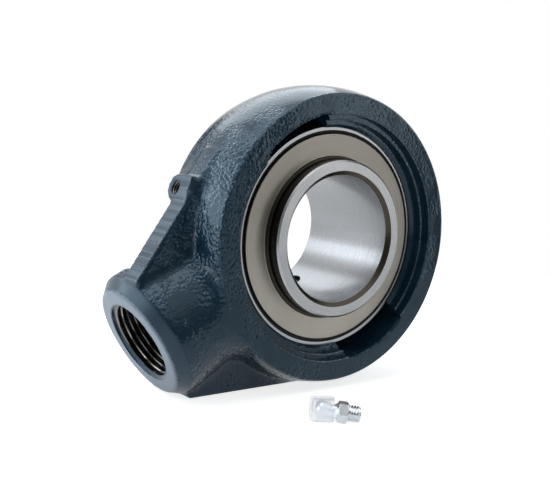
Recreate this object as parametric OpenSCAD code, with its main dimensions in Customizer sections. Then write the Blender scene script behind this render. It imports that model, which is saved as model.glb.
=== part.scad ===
// Hanger bearing: a cast housing with a threaded hub carries a self-aligning insert ball bearing.
// Y runs along the shaft bore with the narrow front end towards -Y, and Z points up.
// The origin is the centre of the balls, on the bore axis. The unit lies on its flank, with the hub
// pointing down to the left, and its loose grease nipple lies in front of it.

/* [Insert bearing] */
// Diameter of the shaft bore
bore_d = 50; // [42:0.5:58]
// Wall of the inner ring between its bore and its shoulders
inner_wall = 6; // [5.5:0.1:8]
// Inner ring from the ball centres to its narrow front face
inner_front = 19; // [17:0.1:22]
// Inner ring from the ball centres to its wide back face
inner_back = 32.6; // [31:0.1:38]
// Chamfer at both ends of the bore
bore_chamfer = 1.8; // [0.5:0.1:2.5]
// Chamfer on the outer corners of the inner ring
inner_edge = 0.8; // [0.3:0.1:1.5]
// Depth of the ball tracks below the shoulders of both rings
track_depth = 2.35; // [1.8:0.05:2.8]
// Radius of a ball track over the radius of a ball
track_fit = 1.04; // [1.03:0.005:1.06]
// Wall of the outer ring between the ball track and the spherical outside
outer_wall = 3.59; // [3.2:0.01:5]
// Width of the outer ring
outer_w = 24; // [23.4:0.1:26]
// Rim left beside the seal at each face of the outer ring
rim_wall = 1.24; // [1:0.01:1.6]

/* [Balls and cage] */
// Diameter of a ball
ball_d = 12.7; // [11.5:0.1:13.4]
// Radial play between a ball and its tracks
ball_play = 0.04; // [0.02:0.01:0.08]
// Play of a ball in its cage pocket
pocket_play = 0.15; // [0.1:0.01:0.25]
// Thickness of the pressed cage strip
cage_sheet = 1.1; // [0.8:0.1:1.2]
// Radial width of the cage strip
cage_band = 4.2; // [3.4:0.1:5]
// Diameter of a cage rivet's shank
rivet_d = 1.6; // [1:0.1:2]
// Diameter of a cage rivet's heads
rivet_head_d = 3; // [2.4:0.1:3.6]
// Height of a cage rivet's heads
rivet_head_h = 0.7; // [0.4:0.1:1]

/* [Seals and slingers] */
// How far a slinger stands out of the outer ring's face
slinger_proud = 0.5; // [0.2:0.1:1]
// Thickness of the slinger's sheet
slinger_sheet = 0.9; // [0.6:0.1:1.2]
// Length of the slinger's collar on the inner ring
slinger_collar = 1.6; // [1:0.1:2.4]
// Open gap between a slinger's edge and the outer ring
slinger_gap = 1.44; // [1:0.02:1.8]
// Axial gap between a slinger and the seal behind it
seal_gap = 0.4; // [0.3:0.05:0.6]
// Air between the cage and the seals
cage_air = 0.8; // [0.5:0.1:1.2]
// Thickness of a seal's lip
lip_t = 1.2; // [0.8:0.1:1.6]
// Running gap of the seal lip on the inner ring
lip_play = 0.1; // [0.05:0.01:0.2]

/* [Set screws] */
// Thread diameter of a set screw
screw_d = 10; // [8:0.5:10]
// Length of a set screw
screw_len = 7; // [6:0.1:9]
// Distance of the set screws from the wide back face
screw_inset = 10; // [8:0.1:11]
// Gap that a loosened screw leaves to the shaft
screw_back_off = 1; // [0.6:0.1:1.6]
// Size of the hexagon socket across its flats
screw_socket = 5; // [4:0.5:5]
// Radial play of a set screw in its hole
screw_play = 0.05; // [0.02:0.01:0.1]
// Direction of the first set screw, round from +X towards +Z
screw_turn = -72; // [-90:1:-50]
// Angle between the two set screws
screw_spread = 62; // [58:1:120]

/* [Housing ring] */
// Width of the housing ring
ring_w = 38; // [36:0.5:44]
// Wall from the spherical seat to the crown of the ring
ring_wall = 14.3; // [12:0.1:18]
// Chamfer on the outer edges of the ring
ring_edge = 0.6; // [0.3:0.1:2.4]
// Play between the outer ring and its spherical seat
seat_play = 0.04; // [0.02:0.01:0.08]
// Width of the spherical seat
seat_w = 25.5; // [24.5:0.1:27]
// Chamfer that leads from the seat to the first step
seat_lead = 1.1; // [0.6:0.1:1.6]
// Radial width of the inner step beside the seat
inner_step = 1.75; // [1:0.05:2.5]
// Radial width of the outer step under the face
outer_step = 2.3; // [1:0.05:2.8]
// Depth of the outer step below the face
step_depth = 2.5; // [1.5:0.1:3.2]
// Chamfer on the edges of both steps
step_edge = 0.35; // [0.2:0.05:0.5]
// Width of the two loading slots in the front face
slot_w = 31; // [27:0.5:34]
// How far the loading slots cut past the outer step
slot_relief = 0.6; // [0.3:0.1:1.5]

/* [Hub and neck] */
// Distance of the hub's face from the crown of the ring
hub_reach = 24.2; // [22:0.1:34]
// Diameter of the hub
hub_d = 51.6; // [48:0.1:56]
// Diameter of the hub's face
hub_face_d = 44; // [40:0.5:47]
// Length of the taper behind the hub's face
hub_taper = 4.6; // [3:0.1:7]
// Straight length of the hub behind the taper
hub_straight = 6.5; // [5:0.1:8]
// Diameter of the thread's core in the hub, an inch pipe thread
pipe_core_d = 30.3; // [26:0.1:32]
// Diameter of the countersink at the hub's mouth
pipe_mouth_d = 33.3; // [32.5:0.1:36]
// Depth of the threaded hole
pipe_depth = 24; // [18:0.5:25]
// Diameter of the neck where it leaves the bearing's centre
neck_root_d = 37.2; // [34:0.1:38]
// How far the end of the neck stays inside the hub
neck_step = 0.35; // [0.2:0.05:0.8]
// Radius of the fillet between neck and ring
neck_fillet = 8; // [4:0.5:11]
// Rim of the ring's back face left beside the neck's sloping back
back_rim = 1.5; // [0.5:0.1:3]
// Run of the neck's sloping back, measured from that rim
back_run = 18.5; // [14:0.5:20]

/* [Webs and grease port] */
// Thickness of the two flank webs
web_t = 10; // [7:0.5:12]
// How far the ground edge of a web stands out of the ring's crown
web_proud = 0.3; // [0.1:0.1:0.6]
// Angle of the grease port from the hub's axis
port_turn = 45; // [38:1:52]
// Offset of the grease port towards the wide end
port_y = 5; // [4:0.1:6]
// Distance of the grease port's face from the crown of the ring
port_reach = 4.66; // [3.4:0.01:7]
// Diameter of the grease port's boss
port_d = 10.4; // [9:0.1:12]
// How far the boss's flat block stays behind the front of the web
port_inset = 0.8; // [0.3:0.1:1.5]
// Core diameter of the grease port's thread
port_core_d = 5; // [4:0.1:5.4]
// Depth of the grease port's thread
port_depth = 8; // [6:0.5:9]
// Diameter of the grease channel below the thread
channel_d = 3; // [2:0.1:3.4]
// Width of the grease groove round the outer ring
groove_w = 3; // [2:0.1:3.6]
// Depth of the grease groove
groove_depth = 0.7; // [0.4:0.1:1]
// Diameter of the two grease holes in the outer ring
feed_d = 1.6; // [1:0.1:2]

/* [Grease nipple] */
// Outer thread diameter of the nipple
nipple_thread_d = 6; // [5:0.1:6.4]
// Length of the nipple's thread
nipple_thread_len = 4.6; // [4:0.1:6]
// Chamfer at the end of the thread
nipple_chamfer = 0.7; // [0.4:0.1:1]
// Hexagon of the nipple across its flats
nipple_hex = 7; // [6.6:0.1:7.4]
// Length of the hexagon
nipple_hex_len = 3.5; // [3:0.1:4.5]
// Diameter of the nipple's head
nipple_head_d = 6.5; // [6:0.1:6.6]
// Diameter of the neck behind the head
nipple_neck_d = 4.5; // [4.2:0.1:5]
// Length of head and neck
nipple_head_len = 8; // [7:0.1:9]
// Diameter of the grease passage
nipple_passage_d = 2.7; // [2.5:0.05:2.8]
// Diameter of the inlet in the head and of the outlet in the thread's end
nipple_inlet_d = 1.6; // [1.2:0.1:1.8]
// Diameter of the check ball
check_ball_d = 2.2; // [2:0.05:2.3]
// Play between the check ball, its seat and its spring
check_ball_play = 0.03; // [0.02:0.01:0.06]
// Wire diameter of the check spring
spring_wire = 0.3; // [0.25:0.01:0.4]
// Turns of the check spring
spring_turns = 6; // [4:1:9]
// Outer diameter of the dust cap
cap_d = 9.2; // [9:0.1:10]
// Wall of the dust cap
cap_wall = 1.1; // [0.8:0.1:1.2]
// Length of the dust cap
cap_len = 8.6; // [8:0.1:8.8]
// Air between the dust cap's end and the nipple's head
cap_air = 0.6; // [0.3:0.1:1]
// Play between the nipple's head and the cap's wall that it rests on
cap_play = 0.05; // [0.02:0.01:0.1]
// Place of the cap's closed end, right of the bearing's centre
nipple_x = -34.6; // [-40:0.1:-10]
// Place of the cap's closed end, behind the bearing's centre
nipple_y = -46.8; // [-80:0.1:-45]
// Direction of the nipple's thread, round from +X
nipple_turn = -35; // [-90:1:-10]

/* [Hidden] */
$fn = 96;
// Margin by which a cutting shape passes the face that it cuts
over = 1;
ball_count = 10;
ball_pitch = 360 / ball_count;

// Radii of the insert, from the bore outwards
bore_r = bore_d / 2;
inner_r = bore_r + inner_wall;
ball_r = ball_d / 2;
pitch_r = inner_r - track_depth + ball_play + ball_r;
track_r = ball_r * track_fit;
inner_track_r = inner_r - track_depth + track_r;
outer_track_top = pitch_r + ball_r + ball_play;
outer_track_r = outer_track_top - track_r;
land_r = outer_track_top - track_depth;
insert_r = outer_track_top + outer_wall;
feed_turn = 30;
rim_r = sqrt(pow(insert_r, 2) - pow(outer_w / 2, 2)) - rim_wall;

// Ball pockets of the cage
pocket_r = ball_r + pocket_play;
hump_r = pocket_r + cage_sheet;

// Places of seals and slingers along the bore, the same on both sides
slinger_out = outer_w / 2 + slinger_proud;
slinger_in = slinger_out - slinger_sheet;
seal_out = slinger_in - seal_gap;
seal_in = hump_r + cage_air;
slinger_r = rim_r - slinger_gap;

// Set screws
screw_r = screw_d / 2;
screw_y = inner_back - screw_inset;
screw_tip_r = bore_r + screw_back_off;
screw_point = screw_d / 10;

// Housing ring and its stepped opening
half_w = ring_w / 2;
seat_r = insert_r + seat_play;
ring_r = seat_r + ring_wall;
face_r = sqrt(pow(ring_r, 2) - pow(half_w - ring_edge, 2)) - ring_edge;
seat_edge_r = sqrt(pow(seat_r, 2) - pow(seat_w / 2, 2));
lead_r = seat_edge_r + seat_lead;
inner_step_r = lead_r + inner_step;
outer_step_r = inner_step_r + outer_step;
inner_step_y = seat_w / 2 + seat_lead;
outer_step_y = half_w - step_depth;
slot_r = outer_step_r + slot_relief;

// Hub, centred on the width of the inner ring
hub_r = hub_d / 2;
hub_y = (inner_back - inner_front) / 2;
hub_z = ring_r + hub_reach;
hub_edge_z = hub_z - hub_taper;
hub_back_y = hub_y + hub_r;
pipe_chamfer = (pipe_mouth_d - pipe_core_d) / 2;

// Neck: a cone that starts at the bearing's centre and leans so that it ends in the hub's middle
neck_end_z = hub_edge_z - hub_straight / 2;
neck_lean = atan2(hub_y, hub_edge_z);
neck_end_r = hub_r - neck_step;
neck_taper = (neck_end_r - neck_root_d / 2) / neck_end_z;
// The fillet's torus touches neck and ring, less a small bite so that it crosses both cleanly
fillet_bite = neck_fillet / 32;
fillet_root = neck_root_d / 2 + neck_fillet - fillet_bite;
fillet_reach = ring_r + neck_fillet - fillet_bite;
fillet_spread = 1 + pow(neck_taper, 2);
fillet_square = fillet_spread * pow(fillet_reach, 2) - pow(fillet_root, 2);
fillet_z = (sqrt(fillet_square) - fillet_root * neck_taper) / fillet_spread;
fillet_r = fillet_root + neck_taper * fillet_z;
fillet_in = fillet_r - 1.25 * neck_fillet;
back_r = outer_step_r + back_rim;

// Flank webs: a plane that touches the hub's corner and passes the ring's crown
flank_r = ring_r + web_proud;
flank_turn = asin(flank_r / norm([hub_edge_z, hub_r])) - atan2(hub_r, hub_edge_z);
floor_z = -flank_r;
port_r = ring_r + port_reach;

// Grease nipple, lengths along its axis from the closed end of the cap
nipple_head_x = cap_wall + cap_air;
head_end_x = nipple_head_x + nipple_head_d / 2;
nipple_hex_x = nipple_head_x + nipple_head_len;
nipple_thread_x = nipple_hex_x + nipple_hex_len;
nipple_end_x = nipple_thread_x + nipple_thread_len;
nipple_lean = min(
    lean_onto(nipple_thread_x, nipple_hex / 2),
    lean_onto(nipple_end_x - nipple_chamfer, nipple_thread_d / 2)
);
chamber_x = nipple_head_x + 0.6 * check_ball_d;
seat_angle = atan2(nipple_passage_d - nipple_inlet_d, nipple_passage_d);
seat_depth = nipple_passage_d / 2 * cos(seat_angle) - check_ball_d / 2 - check_ball_play;
check_ball_x = chamber_x - seat_depth / sin(seat_angle);
spring_start_x = check_ball_x + check_ball_d / 2 + check_ball_play + spring_wire / 2;
spring_end_x = nipple_thread_x - spring_wire / 2;
passage_end_x = nipple_thread_x;

// Colours
paint = [0.17, 0.22, 0.27];
bright_steel = [0.72, 0.73, 0.74];
slinger_grey = [0.60, 0.58, 0.53];
ball_steel = [0.80, 0.81, 0.82];
cage_steel = [0.55, 0.54, 0.52];
seal_black = [0.05, 0.05, 0.05];
screw_black = [0.10, 0.10, 0.11];
zinc = [0.78, 0.80, 0.82];
cap_clear = [0.90, 0.92, 0.96];

// Shapes drawn along Z stand along the bore, with Z towards the wide back end
module along_bore() {
    rotate([-90, 0, 0])
        children();
}

// Outline of [radius, place along the bore] turned round the bore
module revolve(outline) {
    along_bore()
        rotate_extrude()
            polygon(outline);
}

// Torus round the bore with its tube centred on the ball centres
module track(centre_r, tube_r) {
    along_bore()
        rotate_extrude()
            translate([centre_r, 0])
                circle(r = tube_r);
}

// The housing is drawn with its hub upwards and then laid on its flank
module laid_on_flank() {
    rotate([0, -(90 + flank_turn), 0])
        children();
}

// Points a shape drawn along Z from the bearing's centre to the grease port
module towards_port() {
    translate([0, port_y, 0])
        rotate([0, port_turn, 0])
            children();
}

// Points a shape drawn along Z outwards at an angle round the bore from +X towards +Z
module radially(turn, y) {
    translate([0, y, 0])
        rotate([0, 90 - turn, 0])
            children();
}

module ring_blank() {
    intersection() {
        sphere(r = ring_r, $fn = 160);
        revolve([
            [0, -half_w], [face_r, -half_w], [face_r + ring_edge, ring_edge - half_w],
            [ring_r + over, ring_edge - half_w], [ring_r + over, half_w - ring_edge],
            [face_r + ring_edge, half_w - ring_edge], [face_r, half_w], [0, half_w]
        ]);
    }
}

// Everything behind the sloping back of the neck
module neck_back_cut() {
    revolve([
        [0, half_w], [back_r, half_w], [back_r + back_run, hub_back_y],
        [back_r + back_run, hub_back_y + over], [0, hub_back_y + over]
    ]);
}

module neck_fillet_ring() {
    difference() {
        rotate_extrude()
            polygon([
                [fillet_in, fillet_z - neck_fillet],
                [fillet_r * ring_r / (ring_r + neck_fillet), fillet_z - neck_fillet],
                [fillet_r, fillet_z],
                [fillet_in, fillet_z]
            ]);
        rotate_extrude()
            translate([fillet_r, fillet_z])
                circle(r = neck_fillet);
    }
}

module neck() {
    difference() {
        rotate([-neck_lean, 0, 0]) {
            cylinder(h = neck_end_z, r1 = neck_root_d / 2, r2 = neck_end_r);
            neck_fillet_ring();
        }
        neck_back_cut();
        translate([-ring_r, -half_w - ring_r, -ring_r])
            cube([2 * ring_r, ring_r, 2 * ring_r + hub_reach]);
    }
}

module hub() {
    translate([0, hub_y, 0])
        rotate_extrude()
            polygon([
                [0, hub_edge_z - hub_straight], [hub_r, hub_edge_z - hub_straight],
                [hub_r, hub_edge_z], [hub_face_d / 2, hub_z], [0, hub_z]
            ]);
}

module flank_webs() {
    tangent = flank_r * [cos(flank_turn), sin(flank_turn)];
    corner = [hub_r, hub_edge_z];
    rotate([90, 0, 0])
        linear_extrude(height = web_t, center = true)
            polygon([
                [0, 0], tangent, corner, [-corner.x, corner.y], [-tangent.x, tangent.y]
            ]);
}

module grease_boss() {
    towards_port()
        translate([0, 0, seat_r])
            cylinder(h = port_r - seat_r, d = port_d);
    rotate([0, port_turn, 0])
        translate([-port_d / 2, port_inset - web_t / 2, seat_r])
            cube([port_d, web_t / 2 - port_inset + port_y, port_r - seat_r]);
}

// Stepped opening on both faces, down to the edges of the spherical seat
module stepped_opening() {
    reach = hub_back_y + over;
    side = [
        [outer_step_r + step_edge, reach], [outer_step_r + step_edge, half_w],
        [outer_step_r, half_w - step_edge], [outer_step_r, outer_step_y],
        [inner_step_r + step_edge, outer_step_y], [inner_step_r, outer_step_y - step_edge],
        [inner_step_r, inner_step_y], [lead_r, inner_step_y],
        [seat_edge_r - seat_lead, seat_w / 2 - seat_lead]
    ];
    front = [for (i = [len(side) - 1 : -1 : 0]) [side[i].x, -side[i].y]];
    revolve(concat([[0, reach]], side, front, [[0, -reach]]));
}

module loading_slots() {
    intersection() {
        along_bore()
            translate([0, 0, -half_w - over])
                cylinder(h = half_w + over, r = slot_r);
        cube([3 * slot_r, 3 * ring_w, slot_w], center = true);
    }
}

module pipe_hole() {
    translate([0, hub_y, 0])
        rotate_extrude()
            polygon([
                [0, hub_z - pipe_depth], [pipe_core_d / 2, hub_z - pipe_depth],
                [pipe_core_d / 2, hub_z - pipe_chamfer], [pipe_mouth_d / 2, hub_z],
                [pipe_mouth_d / 2, hub_z + over], [0, hub_z + over]
            ]);
}

module grease_hole() {
    towards_port() {
        translate([0, 0, port_r - port_depth])
            cylinder(h = port_depth + over, d = port_core_d);
        cylinder(h = port_r - port_depth + over, d = channel_d);
    }
}

module housing() {
    color(paint)
        laid_on_flank()
            difference() {
                union() {
                    ring_blank();
                    neck();
                    hub();
                    flank_webs();
                    grease_boss();
                }
                sphere(r = seat_r, $fn = 160);
                stepped_opening();
                loading_slots();
                pipe_hole();
                grease_hole();
            }
}

module outer_ring() {
    groove_r = sqrt(pow(insert_r, 2) - pow(port_y, 2)) - groove_depth;
    color(bright_steel)
        difference() {
            intersection() {
                along_bore()
                    sphere(r = insert_r, $fn = 160);
                along_bore()
                    cylinder(h = outer_w, r = insert_r + over, center = true);
            }
            revolve([
                [0, -outer_w], [rim_r, -outer_w], [rim_r, -seal_in], [land_r, -seal_in],
                [land_r, seal_in], [rim_r, seal_in], [rim_r, outer_w], [0, outer_w]
            ]);
            track(outer_track_r, track_r);
            revolve([
                [groove_r, port_y - groove_w / 2], [insert_r + over, port_y - groove_w / 2],
                [insert_r + over, port_y + groove_w / 2], [groove_r, port_y + groove_w / 2]
            ]);
            for (turn = [feed_turn, feed_turn + 180])
                radially(turn, port_y)
                    cylinder(h = insert_r + over, d = feed_d);
        }
}

module inner_ring() {
    color(bright_steel)
        difference() {
            revolve([
                [bore_r + bore_chamfer, -inner_front], [inner_r - inner_edge, -inner_front],
                [inner_r, inner_edge - inner_front], [inner_r, inner_back - inner_edge],
                [inner_r - inner_edge, inner_back], [bore_r + bore_chamfer, inner_back],
                [bore_r, inner_back - bore_chamfer], [bore_r, bore_chamfer - inner_front]
            ]);
            track(inner_track_r, track_r);
            for (turn = [screw_turn, screw_turn - screw_spread])
                radially(turn, screw_y)
                    cylinder(h = inner_r + over, r = screw_r + screw_play);
        }
}

module ball(number) {
    color(ball_steel)
        radially(ball_pitch * (number - 1), 0)
            translate([0, 0, pitch_r])
                sphere(r = ball_r);
}

// One half of the pressed cage: a flat strip with a domed pocket over each ball
module cage_half(side) {
    color(cage_steel)
        difference() {
            intersection() {
                revolve([
                    [pitch_r - cage_band / 2, 0], [pitch_r + cage_band / 2, 0],
                    [pitch_r + cage_band / 2, side * hump_r], [pitch_r - cage_band / 2, side * hump_r]
                ]);
                union() {
                    revolve([
                        [bore_r, 0], [insert_r, 0], [insert_r, side * cage_sheet], [bore_r, side * cage_sheet]
                    ]);
                    for (i = [0 : ball_count - 1])
                        radially(ball_pitch * i, 0)
                            translate([0, 0, pitch_r])
                                sphere(r = hump_r);
                }
            }
            for (i = [0 : ball_count - 1]) {
                radially(ball_pitch * i, 0)
                    translate([0, 0, pitch_r])
                        sphere(r = pocket_r);
                radially(ball_pitch * (i + 0.5), 0)
                    translate([0, 0, pitch_r])
                        rotate([90, 0, 0])
                            cylinder(h = 3 * cage_sheet, d = rivet_d, center = true);
            }
        }
}

module cage_front() {
    cage_half(-1);
}

module cage_back() {
    cage_half(1);
}

module cage_rivets() {
    color(bright_steel)
        for (i = [0 : ball_count - 1])
            radially(ball_pitch * (i + 0.5), 0)
                translate([0, 0, pitch_r])
                    rotate([90, 0, 0])
                        rotate_extrude()
                            polygon([
                                [0, -cage_sheet - rivet_head_h], [rivet_head_d / 2, -cage_sheet - rivet_head_h],
                                [rivet_head_d / 2, -cage_sheet], [rivet_d / 2, -cage_sheet],
                                [rivet_d / 2, cage_sheet], [rivet_head_d / 2, cage_sheet],
                                [rivet_head_d / 2, cage_sheet + rivet_head_h], [0, cage_sheet + rivet_head_h]
                            ]);
}

// Rubber seal: a bead held in the outer ring, a thin web and a lip on the inner ring
module seal(side) {
    lip_r = inner_r + lip_play;
    color(seal_black)
        revolve([
            [rim_r, side * seal_in], [rim_r, side * seal_out], [rim_r - lip_t, side * seal_out],
            [rim_r - 2 * lip_t, side * (seal_in + lip_t)], [lip_r + lip_t, side * (seal_in + lip_t)],
            [lip_r + lip_t, side * seal_out], [lip_r, side * seal_out], [lip_r, side * seal_in]
        ]);
}

module front_seal() {
    seal(-1);
}

module back_seal() {
    seal(1);
}

// Pressed steel slinger: a disc with a short collar that grips the inner ring
module slinger(side) {
    collar_end = slinger_out + slinger_collar;
    collar_r = inner_r + slinger_sheet;
    color(slinger_grey)
        revolve([
            [inner_r, side * slinger_in], [slinger_r, side * slinger_in],
            [slinger_r, side * (slinger_out - slinger_sheet / 3)],
            [slinger_r - slinger_sheet / 3, side * slinger_out],
            [collar_r + slinger_sheet, side * slinger_out],
            [collar_r, side * (slinger_out + slinger_sheet)],
            [collar_r, side * collar_end], [inner_r, side * collar_end]
        ]);
}

module front_slinger() {
    slinger(-1);
}

module back_slinger() {
    slinger(1);
}

// Socket set screw with a cup point towards the shaft
module set_screw(turn) {
    tail_r = screw_tip_r + screw_len;
    color(screw_black)
        radially(turn, screw_y)
            difference() {
                rotate_extrude()
                    polygon([
                        [0, screw_tip_r + screw_point / 2], [screw_r / 4, screw_tip_r + screw_point / 2],
                        [screw_r / 2, screw_tip_r], [screw_r - screw_point, screw_tip_r],
                        [screw_r, screw_tip_r + screw_point], [screw_r, tail_r - screw_point / 2],
                        [screw_r - screw_point / 2, tail_r], [0, tail_r]
                    ]);
                translate([0, 0, tail_r - screw_len / 2])
                    cylinder(h = screw_len, d = screw_socket / cos(30), $fn = 6);
            }
}

module set_screw_1() {
    set_screw(screw_turn);
}

module set_screw_2() {
    set_screw(screw_turn - screw_spread);
}

// Lean at which an edge of the nipple, at this place and radius, comes down on the floor
function lean_onto(place, radius) =
    let (run = place - head_end_x, drop = radius - nipple_head_d / 2)
    asin((cap_wall + cap_play) / norm([run, drop])) - atan2(drop, run);

// The cap is drawn along +X from its closed end, and lies flat on the floor
module laid_cap() {
    translate([nipple_x, nipple_y, floor_z + cap_d / 2])
        rotate([0, 0, nipple_turn])
            children();
}

// The nipple's head rests loosely on the cap's wall, and its other end on the floor
module laid_nipple() {
    laid_cap()
        translate([head_end_x, 0, cap_wall + cap_play - cap_d / 2])
            rotate([0, nipple_lean, 0])
                translate([-head_end_x, 0, nipple_head_d / 2])
                    children();
}

// Outline of [radius, place along the nipple] turned round the nipple's axis
module turn_along_x(outline) {
    rotate([90, 0, 90])
        rotate_extrude()
            polygon(outline);
}

module nipple_body() {
    head_r = nipple_head_d / 2;
    neck_r = nipple_neck_d / 2;
    thread_r = nipple_thread_d / 2;
    inlet_r = nipple_inlet_d / 2;
    passage_r = nipple_passage_d / 2;
    hex_r = nipple_hex / 2;
    color(zinc)
        laid_nipple()
            difference() {
                union() {
                    turn_along_x([
                        [0, nipple_head_x], [head_r * 0.5, nipple_head_x], [head_r, nipple_head_x + head_r * 0.6],
                        [head_r, nipple_head_x + head_r], [neck_r, nipple_head_x + head_r * 1.6],
                        [neck_r, nipple_hex_x - hex_r * 0.4], [hex_r, nipple_hex_x + over],
                        [thread_r, nipple_thread_x - over], [thread_r, nipple_end_x - nipple_chamfer],
                        [thread_r - nipple_chamfer, nipple_end_x], [0, nipple_end_x]
                    ]);
                    translate([nipple_hex_x, 0, 0])
                        rotate([0, 90, 0])
                            rotate([0, 0, 30])
                                cylinder(h = nipple_hex_len, d = nipple_hex / cos(30), $fn = 6);
                }
                turn_along_x([
                    [0, nipple_head_x - over], [inlet_r, nipple_head_x - over], [inlet_r, chamber_x - passage_r],
                    [passage_r, chamber_x], [passage_r, passage_end_x], [inlet_r, passage_end_x + passage_r],
                    [inlet_r, nipple_end_x + over], [0, nipple_end_x + over]
                ]);
            }
}

module nipple_check_ball() {
    color(ball_steel)
        laid_nipple()
            translate([check_ball_x, 0, 0])
                sphere(d = check_ball_d);
}

// Coil spring: a small hexagon swept along a helix, with two triangles to each patch of its wall
module nipple_spring() {
    sides = 6;
    steps = 12 * spring_turns;
    coil_r = (nipple_passage_d - spring_wire) / 2 - spring_wire / 2;
    rise = (spring_end_x - spring_start_x) / steps;
    points = [
        for (i = [0 : steps], k = [0 : sides - 1])
            let (
                turn = 360 * spring_turns * i / steps,
                round = 360 * k / sides,
                reach = coil_r + spring_wire / 2 * cos(round)
            )
            [spring_start_x + rise * i + spring_wire / 2 * sin(round), reach * cos(turn), reach * sin(turn)]
    ];
    lower = [
        for (i = [0 : steps - 1], k = [0 : sides - 1])
            [i * sides + k, i * sides + (k + 1) % sides, (i + 1) * sides + (k + 1) % sides]
    ];
    upper = [
        for (i = [0 : steps - 1], k = [0 : sides - 1])
            [i * sides + k, (i + 1) * sides + (k + 1) % sides, (i + 1) * sides + k]
    ];
    ends = [
        [for (k = [sides - 1 : -1 : 0]) k],
        [for (k = [0 : sides - 1]) steps * sides + k]
    ];
    color(bright_steel)
        laid_nipple()
            polyhedron(points = points, faces = concat(lower, upper, ends));
}

// Soft dust cap that covers the nipple's head and neck
module nipple_cap() {
    outer_r = cap_d / 2;
    color(cap_clear)
        laid_cap()
            turn_along_x([
                [0, 0], [outer_r - cap_wall, 0], [outer_r - cap_wall / 3, cap_wall / 2],
                [outer_r, cap_wall * 1.5], [outer_r, cap_len], [outer_r - cap_wall, cap_len],
                [outer_r - cap_wall, cap_wall], [0, cap_wall]
            ]);
}

housing();
outer_ring();
inner_ring();
ball(1);  // ball_01
ball(2);  // ball_02
ball(3);  // ball_03
ball(4);  // ball_04
ball(5);  // ball_05
ball(6);  // ball_06
ball(7);  // ball_07
ball(8);  // ball_08
ball(9);  // ball_09
ball(10);  // ball_10
cage_front();
cage_back();
cage_rivets();
front_seal();
back_seal();
front_slinger();
back_slinger();
set_screw_1();
set_screw_2();
nipple_body();
nipple_check_ball();
nipple_spring();
nipple_cap();
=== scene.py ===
# %% [markdown]
# A hanger bearing carries a shaft below a threaded rod or pipe. Its cast housing has a ring, a neck
# and a threaded hub, and an insert ball bearing sits in a spherical seat inside the ring.
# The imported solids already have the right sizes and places, so this file loads them as a fixed frame
# and gives them what a photograph shows: the cast skin, the threads, the finishes and the light.

# %% Load the solids
import math

import bmesh
import bpy
import numpy as np
from mathutils import Matrix


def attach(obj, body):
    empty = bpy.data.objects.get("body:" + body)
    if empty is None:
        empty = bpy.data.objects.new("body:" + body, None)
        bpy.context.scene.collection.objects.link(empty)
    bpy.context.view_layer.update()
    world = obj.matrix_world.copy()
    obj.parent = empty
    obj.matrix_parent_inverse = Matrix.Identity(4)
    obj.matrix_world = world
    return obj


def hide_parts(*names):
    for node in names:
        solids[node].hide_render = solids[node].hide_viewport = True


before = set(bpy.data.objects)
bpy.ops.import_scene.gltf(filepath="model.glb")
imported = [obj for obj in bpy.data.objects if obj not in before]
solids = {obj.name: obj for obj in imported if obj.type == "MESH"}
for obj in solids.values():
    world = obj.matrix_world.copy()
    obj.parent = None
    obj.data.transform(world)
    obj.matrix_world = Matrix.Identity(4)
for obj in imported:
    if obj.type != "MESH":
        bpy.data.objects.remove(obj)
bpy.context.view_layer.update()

# %% [markdown]
# The camera stands in front and to the left, a little above the bore, and leans slightly. Its place
# was worked out from the round edges of the object, which look like ellipses of known sizes.
# A direction of view, a direction to the right and their cross product make the camera's three axes.

# %% Camera
MM = 0.001
VIEW_TURN, VIEW_RISE, VIEW_ROLL = np.radians((-36.98, 7.89, 2.65))
VIEW_TARGET = np.array((-17.67, 0.0, -5.93)) * MM
VIEW_DISTANCE = 371.84 * MM
FOCAL_PIXELS = 941.38
PICTURE_WIDTH = 550
SENSOR_WIDTH = 36.0


def placing(axes, place):
    """The matrix that turns an object to three axes and moves it to a place."""
    rows = np.stack(axes, axis=1)
    return Matrix([[*row, value] for row, value in zip(rows, place)] + [[0, 0, 0, 1]])


forward = np.array((
    -math.sin(VIEW_TURN) * math.cos(VIEW_RISE),
    math.cos(VIEW_TURN) * math.cos(VIEW_RISE),
    -math.sin(VIEW_RISE),
))
level = np.array((math.cos(VIEW_TURN), math.sin(VIEW_TURN), 0.0))
steep = np.cross(level, forward)
camera_x = math.cos(VIEW_ROLL) * level + math.sin(VIEW_ROLL) * steep
camera_y = math.cos(VIEW_ROLL) * steep - math.sin(VIEW_ROLL) * level
camera_place = VIEW_TARGET - VIEW_DISTANCE * forward

lens = bpy.data.cameras.new("camera")
lens.sensor_width = SENSOR_WIDTH
lens.lens = FOCAL_PIXELS * SENSOR_WIDTH / PICTURE_WIDTH
lens.clip_start = 0.01
camera = bpy.data.objects.new("camera", lens)
bpy.context.scene.collection.objects.link(camera)
camera.matrix_world = placing((camera_x, camera_y, -forward), camera_place)
bpy.context.scene.camera = camera
print("lens:", round(lens.lens, 2), "mm at", np.round(camera_place, 4))

# %% [markdown]
# The housing lies on its flank, so its hub points down to the left. Every cast and cut form is easier
# to describe in the housing's own directions: hub_way along the hub, side_way across it towards the
# grease port, and the bore axis, which is world Y. The sizes below are those of the solids.

# %% Sizes and directions of the housing
FLANK_TURN = math.radians(27.8118)
hub_way = np.array((-math.cos(FLANK_TURN), 0.0, -math.sin(FLANK_TURN)))
side_way = np.array((-math.sin(FLANK_TURN), 0.0, math.cos(FLANK_TURN)))
bore_way = np.array((0.0, 1.0, 0.0))
port_way = (hub_way + side_way) / math.sqrt(2)
port_side_way = (hub_way - side_way) / math.sqrt(2)
flank_ways = [
    math.sin(FLANK_TURN) * hub_way + side * math.cos(FLANK_TURN) * side_way for side in (-1, 1)
]
up_flank_way = np.cross(flank_ways[1], bore_way)

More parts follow.
